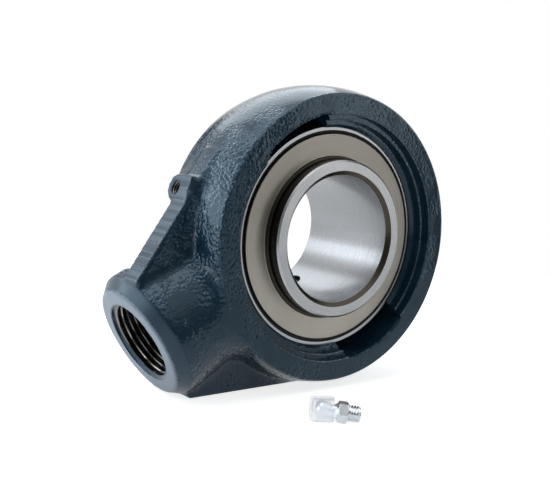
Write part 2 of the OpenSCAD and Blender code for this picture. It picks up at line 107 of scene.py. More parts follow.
FLANK = 59.66 * MM
FLOOR = -FLANK
RING_HALF_WIDTH = 19.0 * MM
RING_EDGES = np.array(((55.836, 19.0), (56.436, 18.4))) * MM
STEP_RADIUS = 48.719 * MM
SLOT_RADIUS = 48.969 * MM
SLOT_HALF_WIDTH = 15.5 * MM
HUB_OFFSET = 6.8 * MM
HUB_FACE = 83.56 * MM
HUB_TAPER = 4.6 * MM
TAPER_START = HUB_FACE - HUB_TAPER
PIPE_CORE = 15.15 * MM
PIPE_MOUTH = 16.65 * MM
PIPE_PITCH = 2.309 * MM
PIPE_THREAD = 1.479 * MM
PIPE_DEPTH = 24.0 * MM
PORT_OFFSET = 5.0 * MM
PORT_FACE = 64.02 * MM
PORT_CORE = 2.5 * MM
PORT_MOUTH = 3.1 * MM
PORT_PITCH = 1.0 * MM
PORT_THREAD = 0.54 * MM
PORT_DEPTH = 8.0 * MM
print("hub way:", np.round(hub_way, 4), "port way:", np.round(port_way, 4))

# %% [markdown]
# A finish is a small tree of nodes that ends in a surface shader. Its textures read object coordinates,
# which stay with the piece, so no pattern slides when the piece moves. One helper starts such a tree and
# one adds a node to it, so each finish below reads as a list of what the real surface does.


# %% Node helpers
def new_finish(name):
    """A material with its node tree, its surface shader and its object coordinates."""
    finish = bpy.data.materials.new(name)
    finish.use_nodes = True
    tree = finish.node_tree
    shader = tree.nodes["Principled BSDF"]
    coordinates = tree.nodes.new("ShaderNodeTexCoord").outputs["Object"]
    return finish, tree, shader, coordinates


def node(tree, kind, inputs=None, **settings):
    """Adds a node, sets its properties, and links or fills its inputs."""
    made = tree.nodes.new("ShaderNode" + kind)
    for key, value in settings.items():
        setattr(made, key, value)
    for key, value in (inputs or {}).items():
        socket = made.inputs[key]
        if isinstance(value, bpy.types.NodeSocket):
            tree.links.new(value, socket)
        else:
            socket.default_value = value
    return made


print("node helpers ready")

# %% [markdown]
# Real surfaces are never quite even. A noise texture gives a value that wanders from place to place, and
# a ramp turns it into a colour or a roughness. Values meet in plain arithmetic and colours in a blend.


# %% Noise, ramps and blends
def ramp(tree, factor, *stops):
    """A colour ramp through (place, grey or colour) stops."""
    made = node(tree, "ValToRGB", {"Fac": factor})
    bar = made.color_ramp
    while len(bar.elements) < len(stops):
        bar.elements.new(0.5)
    for element, (place, shade) in zip(bar.elements, stops):
        element.position = place
        element.color = (*shade, 1.0) if isinstance(shade, tuple) else (shade, shade, shade, 1.0)
    return made.outputs["Color"]


def noise(tree, coordinates, scale, detail=3.0, roughness=0.55):
    """A noise texture's value, from 0 to 1 with most of it near the middle."""
    return node(
        tree, "TexNoise",
        {"Vector": coordinates, "Scale": scale, "Detail": detail, "Roughness": roughness},
    ).outputs["Fac"]


def math_of(tree, operation, first, second=0.0, third=0.0, clamp=False):
    """One arithmetic step between two or three values."""
    made = node(tree, "Math", {0: first, 1: second, 2: third}, operation=operation, use_clamp=clamp)
    return made.outputs[0]


def colour_mix(tree, factor, first, second):
    """A blend from the first colour to the second."""
    made = node(tree, "Mix", data_type="RGBA")
    for socket, value in zip((made.inputs[0], made.inputs[6], made.inputs[7]), (factor, first, second)):
        if isinstance(value, bpy.types.NodeSocket):
            tree.links.new(value, socket)
        else:
            socket.default_value = (*value, 1.0)
    return made.outputs[2]


print("noise, ramps and blends ready")

# %% [markdown]
# The housing is sand-cast iron under a glossy dark blue-grey enamel. Slow noise changes its shade and
# gloss, because paint never lies evenly on a casting. Some places were ground before painting, and a
# point attribute marks them: 1 on the hub's face, 0.5 on the taper behind it and on the strips along the
# webs. They are lighter and less glossy. The hub's face is painted far lighter still, a painted
# highlight over its ground finish. A bluish specular tint gives the cool highlights.

# %% Cast paint
PATCHES_PER_METRE = 90.0
cast_paint, tree, shader, spot = new_finish("cast_paint")
trim_and_highlight = node(tree, "Attribute", attribute_name="trim_and_highlight").outputs["Fac"]
on_trim = math_of(tree, "MULTIPLY", trim_and_highlight, 2.0, clamp=True)
hub_highlight_share = math_of(tree, "MULTIPLY_ADD", trim_and_highlight, 2.0, -1.0, clamp=True)
broad = noise(tree, spot, PATCHES_PER_METRE, 2.0)
cast_tint = ramp(
    tree, broad,
    (0.30, (0.007, 0.028, 0.050)), (0.52, (0.011, 0.040, 0.070)), (0.75, (0.017, 0.054, 0.090)),
)
strip_tint = ramp(tree, broad, (0.30, (0.018, 0.040, 0.066)), (0.75, (0.030, 0.056, 0.088)))
# The hub's face: its ground finish, made much lighter as a painted highlight.
hub_tint_and_highlight = ramp(tree, broad, (0.30, (0.185, 0.240, 0.315)), (0.75, (0.220, 0.278, 0.355)))
tint = colour_mix(tree, hub_highlight_share, colour_mix(tree, on_trim, cast_tint, strip_tint), hub_tint_and_highlight)
cast_gloss = ramp(tree, broad, (0.35, 0.16), (0.65, 0.09))
gloss = colour_mix(tree, on_trim, cast_gloss, (0.30, 0.30, 0.30))
tree.links.new(tint, shader.inputs["Base Color"])
tree.links.new(gloss, shader.inputs["Roughness"])
shader.inputs["IOR"].default_value = 1.53
shader.inputs["Specular Tint"].default_value = (0.68, 0.86, 1.0, 1.0)
print("finish:", cast_paint.name)

# %% [markdown]
# Relief finer than the mesh needs no faces of its own: a bump node tilts the light as a height texture
# says. How strong it is depends on the place on the piece. A dot product measures that place along a
# direction, and a range turns it into a strength.


# %% Places, ranges and bumps
def reach(tree, vector, way):
    """How far a vector reaches along a direction: their dot product."""
    made = node(tree, "VectorMath", {0: vector, 1: tuple(way)}, operation="DOT_PRODUCT")
    return made.outputs["Value"]


def span(tree, value, start, stop, first, last, smooth=False):
    """Goes from first to last while the value goes from start to stop, and stays level outside."""
    made = node(
        tree, "MapRange",
        {"Value": value, "From Min": start, "From Max": stop, "To Min": first, "To Max": last},
        interpolation_type="SMOOTHSTEP" if smooth else "LINEAR",
    )
    return made.outputs["Result"]


def bumped(tree, shader, height, strength, distance, under=None):
    """Lets a height texture tilt the shaded surface. Another bump may lie under it."""
    inputs = {"Height": height, "Strength": strength, "Distance": distance}
    if under is not None:
        inputs["Normal"] = under
    made = node(tree, "Bump", inputs)
    tree.links.new(made.outputs["Normal"], shader.inputs["Normal"])
    return made.outputs["Normal"]


print("places, ranges and bumps ready")

# %% [markdown]
# The mould's sand leaves pebbles about a millimetre wide, strongest near the hub and in patches. Noise
# alone looks too soft for them. A Voronoi texture gives each pebble a dome of its own, and a little
# noise bends the cells so that their edges aren't straight. The grinder's marks run across the strips
# on the webs only. The orange peel of the paint lies over everything. So three bumps are stacked.

# %% Relief of the cast paint
PEBBLES_PER_METRE = 800.0
PEBBLES_FADE = -15 * MM, 45 * MM
BENDS_PER_METRE = 500.0
PEBBLE_BEND = 1.0 * MM
GRINDER_MARKS_PER_METRE = 300.0
PEEL_PER_METRE = 2400.0
bend = node(
    tree, "TexNoise", {"Vector": spot, "Scale": BENDS_PER_METRE, "Detail": 1.0}).outputs["Color"]
bent_spot = node(
    tree, "VectorMath", {0: bend, 1: (PEBBLE_BEND, PEBBLE_BEND, PEBBLE_BEND), 2: spot},
    operation="MULTIPLY_ADD",
).outputs[0]
cells = node(
    tree, "TexVoronoi", {"Vector": bent_spot, "Scale": PEBBLES_PER_METRE, "Smoothness": 0.35},
    feature="SMOOTH_F1",
).outputs["Distance"]
pebble = math_of(tree, "SUBTRACT", 1.0, cells)
place_on_hub = reach(tree, spot, hub_way)
patchy = span(tree, broad, 0.38, 0.66, 0.12, 1.0)
near_hub = span(tree, place_on_hub, *PEBBLES_FADE, 0.15, 1.1)
untrimmed = math_of(tree, "SUBTRACT", 1.0, on_trim)
pebbled = math_of(tree, "MULTIPLY", untrimmed, math_of(tree, "MULTIPLY", patchy, near_hub))
grain = bumped(tree, shader, pebble, pebbled, 0.5 * MM)

place_on_strip = reach(tree, spot, GRINDER_MARKS_PER_METRE * up_flank_way)
grinder = node(
    tree, "TexNoise", {"W": place_on_strip, "Scale": 1.0, "Detail": 0.6}, noise_dimensions="1D",
).outputs["Fac"]
on_web = span(tree, place_on_hub, TAPER_START - 2 * MM, TAPER_START, 0.8, 0.0)
ground = bumped(tree, shader, grinder, math_of(tree, "MULTIPLY", on_trim, on_web), 1.4 * MM, grain)
bumped(tree, shader, noise(tree, spot, PEEL_PER_METRE, 1.0), 0.04, 0.2 * MM, ground)
print("bumps:", sum(made.type == "BUMP" for made in tree.nodes))

# %% [markdown]
# A casting has one rough skin without sharp corners. Bevels would need clean edges, which a solid that
# was cut many times doesn't have, so the skin is made anew. A copy of the solid is merged, and a voxel
# remesh covers it with small even faces that can be smoothed and pebbled point by point. The machined
# openings come later, from the merged solid or from thread formulas, because they stay crisp.


# %% Housing skin
WELD_REACH = 1e-7
VOXEL = 0.75 * MM


def weld(mesh, outward=False):
    """Merges points that coincide, drops faces without area and, on a closed shell, turns all faces
    outwards."""
    form = bmesh.new()
    form.from_mesh(mesh)
    bmesh.ops.remove_doubles(form, verts=form.verts, dist=WELD_REACH)
    bmesh.ops.dissolve_degenerate(form, edges=form.edges, dist=WELD_REACH)
    if outward:
        bmesh.ops.recalc_face_normals(form, faces=form.faces)
    form.to_mesh(mesh)
    form.free()


def array_of(collection, name, width, kind=np.float32):
    """A Blender collection's values as one numpy array."""
    values = np.empty(len(collection) * width, kind)
    collection.foreach_get(name, values)
    return values.reshape(-1, width) if width > 1 else values


blank_mesh = solids["housing"].data.copy()
weld(blank_mesh)
solid_points = array_of(blank_mesh.vertices, "co", 3).astype(float)
blank_mesh.calc_loop_triangles()
solid_faces = array_of(blank_mesh.loop_triangles, "vertices", 3, np.int32)
blank = bpy.data.objects.new("casting_blank", blank_mesh)
bpy.context.scene.collection.objects.link(blank)
remesh = blank.modifiers.new("even_skin", "REMESH")
remesh.mode = "VOXEL"
remesh.voxel_size = VOXEL
remeshed = blank.evaluated_get(bpy.context.evaluated_depsgraph_get())
skin_mesh = bpy.data.meshes.new_from_object(remeshed)
skin = array_of(skin_mesh.vertices, "co", 3).astype(float)
normals = array_of(skin_mesh.vertex_normals, "vector", 3).astype(float)
edges = array_of(skin_mesh.edges, "vertices", 2, np.int32)
quads = array_of(skin_mesh.loops, "vertex_index", 1, np.int32).reshape(-1, 4)
bpy.data.objects.remove(blank)
print("skin points:", len(skin), "faces:", len(quads))

# %% [markdown]
# Cast places are told from machined ones by their distance from the bore, the hub's axis and the
# grease port's axis. A value of 0 holds a point still and 1 lets it move freely. What was ground flat
# moves little, so that its edges stay clear: the hub's face, its taper and the strips on the webs.
# The edges of the ring are exact circles, so their points are noted to be set back onto them.


# %% Cast and machined places
def housing_places(points):
    """Distance from the bore axis, place along the hub, and distances from the hub's and port's axes."""
    up_hub, across = points @ hub_way, points @ side_way
    from_hub = np.hypot(across, points[:, 1] - HUB_OFFSET)
    from_port = np.hypot(points @ port_side_way, points[:, 1] - PORT_OFFSET)
    return np.hypot(up_hub, across), up_hub, from_hub, from_port


def eased(value, low, high):
    """0 below low, 1 above high, and a smooth rise between."""
    step = np.clip((value - low) / (high - low), 0, 1)
    return step * step * (3 - 2 * step)


SEAT_HELD, PIPE_HELD, PORT_HELD = np.array(((48.8, 50.5), (17.0, 18.5), (3.3, 4.2))) * MM
HUB_REGION, PORT_REGION = 60 * MM, 8 * MM
STRIP_START, STRIP_DEPTH, FACE_DEPTH = np.array(((36.5, 39), (1.1, 0.4), (0.9, 0.3))) * MM
TAPER_EASE = 0.3 * MM
EDGE_REACH = 0.45 * MM
from_bore, up_hub, from_hub, from_port = housing_places(skin)
by_port = (skin @ port_way > 0) & (from_port < PORT_REGION)
free = eased(from_bore, *SEAT_HELD)
free *= np.where(up_hub > HUB_REGION, eased(from_hub, *PIPE_HELD), 1)
free *= np.where(by_port, eased(from_port, *PORT_HELD), 1)

out_of_flank = np.maximum(skin @ flank_ways[0], skin @ flank_ways[1])
on_strip = eased(out_of_flank, *(FLANK - STRIP_DEPTH)) * eased(up_hub, *STRIP_START)
on_hub_face = eased(up_hub, *(HUB_FACE - FACE_DEPTH))
on_taper = eased(up_hub, TAPER_START - TAPER_EASE, TAPER_START + TAPER_EASE)
on_flat = np.maximum(on_hub_face, on_strip)
free *= (1 - 0.85 * on_flat) * (1 - 0.4 * on_taper)

off_edges = np.hypot(
    from_bore[:, None] - RING_EDGES[:, 0], np.abs(skin[:, 1:2]) - RING_EDGES[:, 1])
on_edge = off_edges.min(axis=1) < EDGE_REACH
nearest_edge = RING_EDGES[off_edges.argmin(axis=1)]
print("free points:", int((free > 0.5).sum()), "on ring edges:", on_edge.sum())

# %% [markdown]
# A pattern maker fills inner corners with wax, because sharp ones tear when the iron shrinks. Smoothing
# moves every point towards the middle of its neighbours, again and again. A point is filled where that
# lifts it out of a corner, and left where it would be worn away, so the rest isn't thinned. Then all
# edges get a light rounding, and the filled corners get more rounds, so that no crease stays in the
# middle of a fillet.


# %% Fillets and rounded edges
def soften(points, edges, share, rounds):
    """Moves each point by its share towards the mean of its neighbours, the given number of times."""
    first, second = edges[:, 0], edges[:, 1]
    count = len(points)
    degree = np.maximum(np.bincount(first, minlength=count) + np.bincount(second, minlength=count), 1)
    moved = points.copy()
    for _ in range(rounds):
        mean = np.stack([
            np.bincount(first, moved[second, k], count) + np.bincount(second, moved[first, k], count)
            for k in range(3)
        ], axis=1) / degree[:, None]
        moved += share[:, None] * (mean - moved)
    return moved


FILLET_ROUNDS, EDGE_ROUNDS, CREASE_ROUNDS = 12, 2, 12
full = soften(skin, edges, free, FILLET_ROUNDS)
fill = np.clip(np.sum((full - skin) * normals, axis=1), 0, None)
filled = skin + (fill * free)[:, None] * normals
rounded = soften(filled, edges, 0.7 * free, EDGE_ROUNDS)
in_fillet = 0.6 * free * eased(fill, 0.04 * MM, 0.3 * MM)
rounded = soften(rounded, edges, in_fillet, CREASE_ROUNDS)
print("deepest fillet fill:", round(fill.max() / MM, 2), "mm")

# %% [markdown]
# Sand leaves pebbles on a casting, and the worn pattern leaves slow waves. Both are sums of plane waves
# with random directions, so no repeat shows. They are a few hundredths of a millimetre high, which is
# enough to break up the highlights. The pebbles are weaker away from the hub, and ground places and the
# flank that rests on the floor have none.


# %% Pebbled cast skin
def rough_skin(points, dice, count, shortest, longest):
    """Sum of sine waves, each with its own random direction, length and start. The mean square is 1."""
    ways = dice.normal(size=(count, 3))
    ways /= np.linalg.norm(ways, axis=1, keepdims=True)
    lengths = dice.uniform(shortest, longest, count)
    starts = dice.uniform(0, 2 * np.pi, count)
    return np.sin(2 * np.pi * (points @ ways.T) / lengths + starts).sum(axis=1) * math.sqrt(2 / count)


WAVE_HEIGHT, PEBBLE_HEIGHT = 0.025 * MM, 0.02 * MM
WAVE_COUNT, PEBBLE_COUNT = 16, 48
WAVE_LENGTHS, PEBBLE_LENGTHS = (9 * MM, 18 * MM), (1.7 * MM, 2.8 * MM)
dice = np.random.default_rng(7)
waves = rough_skin(rounded, dice, WAVE_COUNT, *WAVE_LENGTHS)
pebbles = rough_skin(rounded, dice, PEBBLE_COUNT, *PEBBLE_LENGTHS)
off_floor = eased(rounded[:, 2], FLOOR + 0.2 * MM, FLOOR + 2 * MM)
pebble_share = 0.2 + 0.8 * eased(up_hub, *PEBBLES_FADE)
uncut = 1 - np.maximum(on_flat, on_taper)
lift = (WAVE_HEIGHT * waves + PEBBLE_HEIGHT * pebble_share * pebbles) * free * uncut * off_floor
cast = rounded + lift[:, None] * normals
edge_circle = skin * (nearest_edge[:, :1] / from_bore[:, None])
edge_circle[:, 1] = np.sign(skin[:, 1]) * nearest_edge[:, 1]
cast = np.where(on_edge[:, None], edge_circle, cast)
print("cast skin up to", round(np.abs(lift).max() / MM, 2), "mm off")

# %% [markdown]
# Now the skin gets its openings, as the boring mill cuts them after casting. Faces over the bearing
# seat, the hub's hole and the grease hole go. What is left has an open rim round each hole: an edge
# that only one face uses.


# %% Openings in the skin
def seat_edge_radius(up_hub, along_bore):
    """Radius of the opening's edge: wider in the loading slots, which are in the front face only."""
    in_slot = (np.abs(up_hub) < SLOT_HALF_WIDTH) & (along_bore < 0)
    return np.where(in_slot, SLOT_RADIUS, STEP_RADIUS)


BELOW_PIPE, PORT_SIDE = 2 * MM, 40 * MM
middles = cast[quads].mean(axis=1)
from_bore, up_hub, from_hub, from_port = housing_places(middles)
in_seat = from_bore < seat_edge_radius(up_hub, middles[:, 1])
in_pipe = (up_hub > HUB_FACE - PIPE_DEPTH - BELOW_PIPE) & (from_hub < PIPE_MOUTH)
in_port = (middles @ port_way > PORT_SIDE) & (from_port < PORT_MOUTH)
kept = quads[~(in_seat | in_pipe | in_port)]
sides = np.sort(kept[:, [[0, 1], [1, 2], [2, 3], [3, 0]]].reshape(-1, 2), axis=1)
pairs, uses = np.unique(sides, axis=0, return_counts=True)
rim = np.unique(pairs[uses == 1])
print("faces kept:", len(kept), "rim points:", len(rim))

# %% [markdown]
# A machined piece starts from an exact circle, so the points of each rim move onto that circle: away
# from the axis or towards it, until their distance is right, and into the plane of the opening's face.

# %% Exact rims
SEAT_NEAR, HUB_NEAR, PIPE_NEAR = 52 * MM, 70 * MM, 20 * MM
rim_points = cast[rim]
from_bore, up_hub, from_hub, from_port = housing_places(rim_points)
seat_rim = from_bore < SEAT_NEAR
pipe_rim = (up_hub > HUB_NEAR) & (from_hub < PIPE_NEAR)
port_rim = ~seat_rim & ~pipe_rim

face_side = np.where(rim_points[:, 1] < 0, -1, 1)
seat_scale = seat_edge_radius(up_hub, rim_points[:, 1]) / from_bore
seat_edge = (
    seat_scale[:, None] * (rim_points * np.array((1, 0, 1)))
    + face_side[:, None] * RING_HALF_WIDTH * bore_way
)
pipe_centre = HUB_FACE * hub_way + HUB_OFFSET * bore_way
pipe_arm = rim_points - pipe_centre - ((up_hub - HUB_FACE)[:, None] * hub_way)
pipe_edge = pipe_centre + (PIPE_MOUTH / from_hub)[:, None] * pipe_arm
port_centre = PORT_FACE * port_way + PORT_OFFSET * bore_way
port_arm = rim_points - port_centre
port_arm -= (port_arm @ port_way)[:, None] * port_way
port_edge = port_centre + (PORT_MOUTH / np.maximum(from_port, 1e-9))[:, None] * port_arm
cast[rim] = np.where(
    seat_rim[:, None], seat_edge, np.where(pipe_rim[:, None], pipe_edge, port_edge))

used, kept = np.unique(kept, return_inverse=True)
skin_points, skin_quads = cast[used], kept.reshape(-1, 4)
skin_trim_and_highlight = np.maximum(on_hub_face, 0.5 * np.maximum(on_strip, on_taper))[used]
print("rims: seat", seat_rim.sum(), "pipe", pipe_rim.sum(), "port", port_rim.sum())

# %% [markdown]
# The stepped opening, the spherical seat and the loading slots are machined, so their crisp faces are
# taken from the solid as they are: all its triangles inside the opening, but not those of the end
# faces. The small chamfers on the steps are found by their slope, because they get a finish of their
# own.

# %% Machined opening
CLOSE = 0.01 * MM
CHAMFER_SLOPES, CHAMFER_PLACE = (0.6, 0.8), 15 * MM
opening_middles = solid_points[solid_faces].mean(axis=1)
inside = np.hypot(opening_middles[:, 0], opening_middles[:, 2]) < SLOT_RADIUS + CLOSE
inside &= np.abs(opening_middles[:, 1]) < RING_HALF_WIDTH - CLOSE
used, opening_faces = np.unique(solid_faces[inside], return_inverse=True)
opening_points, opening_faces = solid_points[used], opening_faces.reshape(-1, 3)
corners = opening_points[opening_faces]
slopes = np.cross(corners[:, 1] - corners[:, 0], corners[:, 2] - corners[:, 0])
slopes = np.abs(slopes[:, 1]) / np.linalg.norm(slopes, axis=1)
near_faces = np.abs(corners[:, :, 1].mean(axis=1)) > CHAMFER_PLACE
step_edges = (slopes > CHAMFER_SLOPES[0]) & (slopes < CHAMFER_SLOPES[1]) & near_faces
print("opening triangles:", len(opening_faces), "on step edges:", step_edges.sum())

# %% [markdown]
# Round pieces come off a lathe, and so they do here: each is a grid with a row for every step along the
# axis and a column for every angle round it. A formula gives the radius of each point, and four-sided
# faces join the points. Whole arrays keep that short, and they allow rows that aren't round.


# %% Turned grids
def grid_faces(rows, columns, looped=False):
    """Four-sided faces of a grid, numbered row by row. The last column joins the first, and so does
    the last row where the grid is looped."""
    row, column = np.meshgrid(
        np.arange(rows if looped else rows - 1), np.arange(columns), indexing="ij")
    next_row, next_column = (row + 1) % rows, (column + 1) % columns
    corners = (row * columns + column, row * columns + next_column,
               next_row * columns + next_column, next_row * columns + column)
    return np.stack(corners, axis=-1).reshape(-1, 4)


def turned(radius, along, place, across, over, axis):
    """Points of a turned shape: place + radius (cos angle across + sin angle over) + along axis.
    radius has a row for each circle and a column for each angle, so a row needn't be round."""
    radius = np.asarray(radius, float)
    angle = np.linspace(0, 2 * np.pi, radius.shape[1], endpoint=False)
    rise = np.broadcast_to(np.asarray(along, float).reshape(len(radius), -1), radius.shape)
    return (
        np.asarray(place)
        + (radius * np.cos(angle))[..., None] * across
        + (radius * np.sin(angle))[..., None] * over
        + rise[..., None] * axis
    ).reshape(-1, 3)


print("turned grids ready")

# %% [markdown]
# A screw thread is a wall whose depth rises and falls once in every pitch, and the place of the crest
# climbs one pitch a turn. So the radius is the core radius plus a blunt triangle wave of
# (height / pitch - angle / full turn). The mouth's chamfer is a cone, and the wall takes the wider of
# both. Spray reaches into the mouth, so its cone and the start of the first turn are painted. The
# first crests behind it are coloured bright, partly rubbed metal and partly a painted highlight, and
# the deeper ones darker, as painted shade further into the hole.


# %% Threads of hub and grease port
THREAD_FLAT = 0.12
ROWS_PER_PITCH = 10
MOUTH_SLOPE = 2
PAINT_REACH, CREST_HIGHLIGHT_FROM, CREST_SHADE_TO = 0.7, (0.5, 0.9), (1.6, 2.6)
PIPE_SIDES, PORT_SIDES = 128, 48


def thread_wave(angle, along, pitch):
    """0 on the inner flat of a thread and 1 on the outer: a triangle wave along a helix, cut flat."""
    phase = along / pitch - angle / (2 * np.pi)
    rise = 1 - np.abs(2 * (phase - np.floor(phase)) - 1)
    return np.clip((rise - THREAD_FLAT) / (1 - 2 * THREAD_FLAT), 0, 1)


def threaded_hole(place, axis, first, second, core, mouth, pitch, depth, thread, sides):
    """Wall and floor of a tapped hole, from its mouth inwards, with faces that look into the hole. The
    radius is core + thread * wave, or that of the mouth's cone where the cone is wider. Returns points,
    faces, which faces are painted, and a mark for each point: 0.5 where it is painted, and elsewhere
    how bright its crest is coloured, from 0 to 1: rubbed metal with a painted highlight near the mouth
    that fades as painted shade deeper in."""
    rows, floor_rows = int(ROWS_PER_PITCH * depth / pitch), 3
    along = -np.linspace(0, depth, rows)[:, None]
    angle = np.linspace(0, 2 * np.pi, sides, endpoint=False)[None, :]
    runout = eased(along, -depth, -depth + 2 * pitch)
    wave = runout * thread_wave(angle, along, pitch)
    cone = (mouth + MOUTH_SLOPE * along) * np.ones_like(angle)
    wall = np.maximum(core + thread * wave, cone)
    floor_radius = np.linspace(core, 0, floor_rows + 1)[1:, None] * np.ones((1, sides))
    radius = np.concatenate((wall, floor_radius))
    height = np.concatenate((along, np.full((floor_rows, 1), -depth)))
    points = turned(radius, height, place, first, second, axis)
    faces = grid_faces(len(radius), sides)

    depth_in_pitches = -along / pitch
    painted = (cone >= core + thread * wave) | (along > -PAINT_REACH * pitch)
    # Crest colour: a painted highlight over rubbed metal, fading deeper in as painted shade.
    rubbed_and_highlit = eased(depth_in_pitches, *CREST_HIGHLIGHT_FROM) * (1 - 0.7 * eased(depth_in_pitches, *CREST_SHADE_TO))
    crest = rubbed_and_highlit * (1 - eased(wave, 0.0, 0.4))
    painted = np.pad(painted.ravel(), (0, floor_rows * sides))
    crest = np.pad(crest.ravel(), (0, floor_rows * sides))
    return points, faces, painted[faces].all(axis=1), np.where(painted, 0.5, crest)


pipe_points, pipe_faces, pipe_painted, pipe_marks = threaded_hole(
    pipe_centre, hub_way, side_way, np.cross(hub_way, side_way),
    PIPE_CORE, PIPE_MOUTH, PIPE_PITCH, PIPE_DEPTH, PIPE_THREAD, PIPE_SIDES)
port_points, port_faces, port_painted, port_marks = threaded_hole(
    port_centre, port_way, port_side_way, np.cross(port_way, port_side_way),
    PORT_CORE, PORT_MOUTH, PORT_PITCH, PORT_DEPTH, PORT_THREAD, PORT_SIDES)
print("thread faces:", len(pipe_faces), len(port_faces))

# %% [markdown]
# Behind its painted mouth the thread shows bare iron, dark with cutting oil. Its crests are coloured
# bright, partly rubbed metal and partly a painted highlight. The marks of the points tell which is
# which, so one finish does for both.

# %% Bare thread
bare_thread, tree, shader, spot = new_finish("bare_thread")
crest = node(tree, "Attribute", attribute_name="trim_and_highlight").outputs["Fac"]
smear = noise(tree, spot, 700.0, 3.0)
groove = ramp(tree, smear, (0.3, (0.018, 0.018, 0.017)), (0.7, (0.060, 0.058, 0.054)))
# The crest colour is rubbed metal with a painted highlight.
tone = colour_mix(tree, crest, groove, (0.45, 0.435, 0.41))
tree.links.new(tone, shader.inputs["Base Color"])
tree.links.new(ramp(tree, smear, (0.3, 0.26), (0.7, 0.42)), shader.inputs["Roughness"])
bumped(tree, shader, smear, 0.12, 0.2 * MM)
shader.inputs["Metallic"].default_value = 0.9
print("finish:", bare_thread.name)

# %% [markdown]
# Paint is thin on the chamfered edges of the steps and wears off first, so they show as broken bright
# lines. The bare metal gets a light bluish colour, partly worn metal and partly a painted highlight
# along the edges. One noise decides where the paint is gone, for the colour, the metal and the gloss
# together.

# %% Worn edges
worn_and_highlit_edge, tree, shader, spot = new_finish("worn_and_highlit_edge")
rubbed_and_highlit = noise(tree, spot, 800.0, 2.0)
# Bare edge colour: worn metal with a painted highlight.
tone = ramp(tree, rubbed_and_highlit, (0.42, (0.025, 0.055, 0.085)), (0.72, (0.20, 0.24, 0.28)))
tree.links.new(tone, shader.inputs["Base Color"])
tree.links.new(ramp(tree, rubbed_and_highlit, (0.42, 0.0), (0.70, 1.0)), shader.inputs["Metallic"])
tree.links.new(ramp(tree, rubbed_and_highlit, (0.3, 0.25), (0.7, 0.40)), shader.inputs["Roughness"])
print("finish:", worn_and_highlit_edge.name)

# %% [markdown]
# A mesh is quickest filled from whole arrays: the points, the corners of all faces in one row, and where
# each face starts in that row. A finished piece is then shaded smooth, except along its sharp edges, and
# tied to the body that carries it, and the solid that it stands for is hidden.


# %% Meshes and pieces
SHARP_EDGE = math.radians(38)


def mesh_from(name, points, face_sets):
    """A mesh from one array of points and several arrays of faces, each with its own corner count."""
    mesh = bpy.data.meshes.new(name)
    corners = np.concatenate([faces.ravel() for faces in face_sets]).astype(np.int32)
    counts = np.concatenate([np.full(len(faces), faces.shape[1], np.int32) for faces in face_sets])
    starts = np.concatenate(([0], np.cumsum(counts)[:-1])).astype(np.int32)
    mesh.vertices.add(len(points))
    mesh.vertices.foreach_set("co", np.asarray(points, np.float32).ravel())
    mesh.loops.add(len(corners))
    mesh.loops.foreach_set("vertex_index", corners)
    mesh.polygons.add(len(counts))
    mesh.polygons.foreach_set("loop_start", starts)
    mesh.polygons.foreach_set("loop_total", counts)
    mesh.update(calc_edges=True)
    mesh.validate()
    return mesh


def add_piece(name, mesh, body, stands_for=()):
    """Links a finished mesh, shades it smooth between sharp edges, ties it to its body and hides the
    solids it stands for.
    """
    mesh.shade_smooth()
    mesh.set_sharp_from_angle(angle=SHARP_EDGE)
    piece = bpy.data.objects.new(name, mesh)
    bpy.context.scene.collection.objects.link(piece)
    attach(piece, body)
    if stands_for:
        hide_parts(*stands_for)
    print(name, "faces:", len(mesh.polygons))
    return piece


print("meshes and pieces ready")

# %% [markdown]
# The skin, the opening and both threads are one casting, so they go into one mesh, which stands for
# the housing's solid. Each face gets the number of its finish. The sharp edges of the machined steps
# are found by their angle.

# %% Housing casting
PAINT, BARE, WORN_AND_HIGHLIT = 0, 1, 2
parts = [
    (skin_points, skin_quads), (opening_points, opening_faces),
    (pipe_points, pipe_faces), (port_points, port_faces),
]
offsets = np.cumsum([0] + [len(points) for points, _ in parts])
casting_mesh = mesh_from(
    "housing_casting",
    np.concatenate([points for points, _ in parts]),
    [faces + offset for (_, faces), offset in zip(parts, offsets)],
)
# The attribute holds the ground marks, and on the threads the painted highlight of the crests.
marks = np.concatenate((skin_trim_and_highlight, np.zeros(len(opening_points)), pipe_marks, port_marks))
trim_and_highlight_marks = casting_mesh.attributes.new("trim_and_highlight", "FLOAT", "POINT")
trim_and_highlight_marks.data.foreach_set("value", marks.astype(np.float32))
thread_painted = np.concatenate((pipe_painted, port_painted))
finish_number = np.concatenate((
    np.full(len(skin_quads), PAINT),
    np.where(step_edges, WORN_AND_HIGHLIT, PAINT),
    np.where(thread_painted, PAINT, BARE),
)).astype(np.int32)
for finish in (cast_paint, bare_thread, worn_and_highlit_edge):
    casting_mesh.materials.append(finish)
casting_mesh.polygons.foreach_set("material_index", finish_number)
weld(casting_mesh)
add_piece("housing_casting", casting_mesh, "housing", ["housing"])

# %% [markdown]
# The rings of the bearing are hardened steel. Grinding leaves fine rings round the axis, so a noise is
# stretched: very quick along the bore and across the face, slow round the axis. An image would need to be
# painted round each ring, while this follows any turned piece by itself.


# %% Ground steel
LINES_PER_METRE, LINE_WANDER = 4000.0, 1.5


def bore_polar(tree, coordinates):
    """Distance from the bore axis, angle round it and place along it, at the shaded point."""
    split = node(tree, "SeparateXYZ", {0: coordinates}).outputs
    square = math_of(tree, "ADD", math_of(tree, "MULTIPLY", split["X"], split["X"]),
                     math_of(tree, "MULTIPLY", split["Z"], split["Z"]))
    angle = math_of(tree, "ARCTAN2", split["Z"], split["X"])
    return math_of(tree, "SQRT", square), angle, split["Y"]


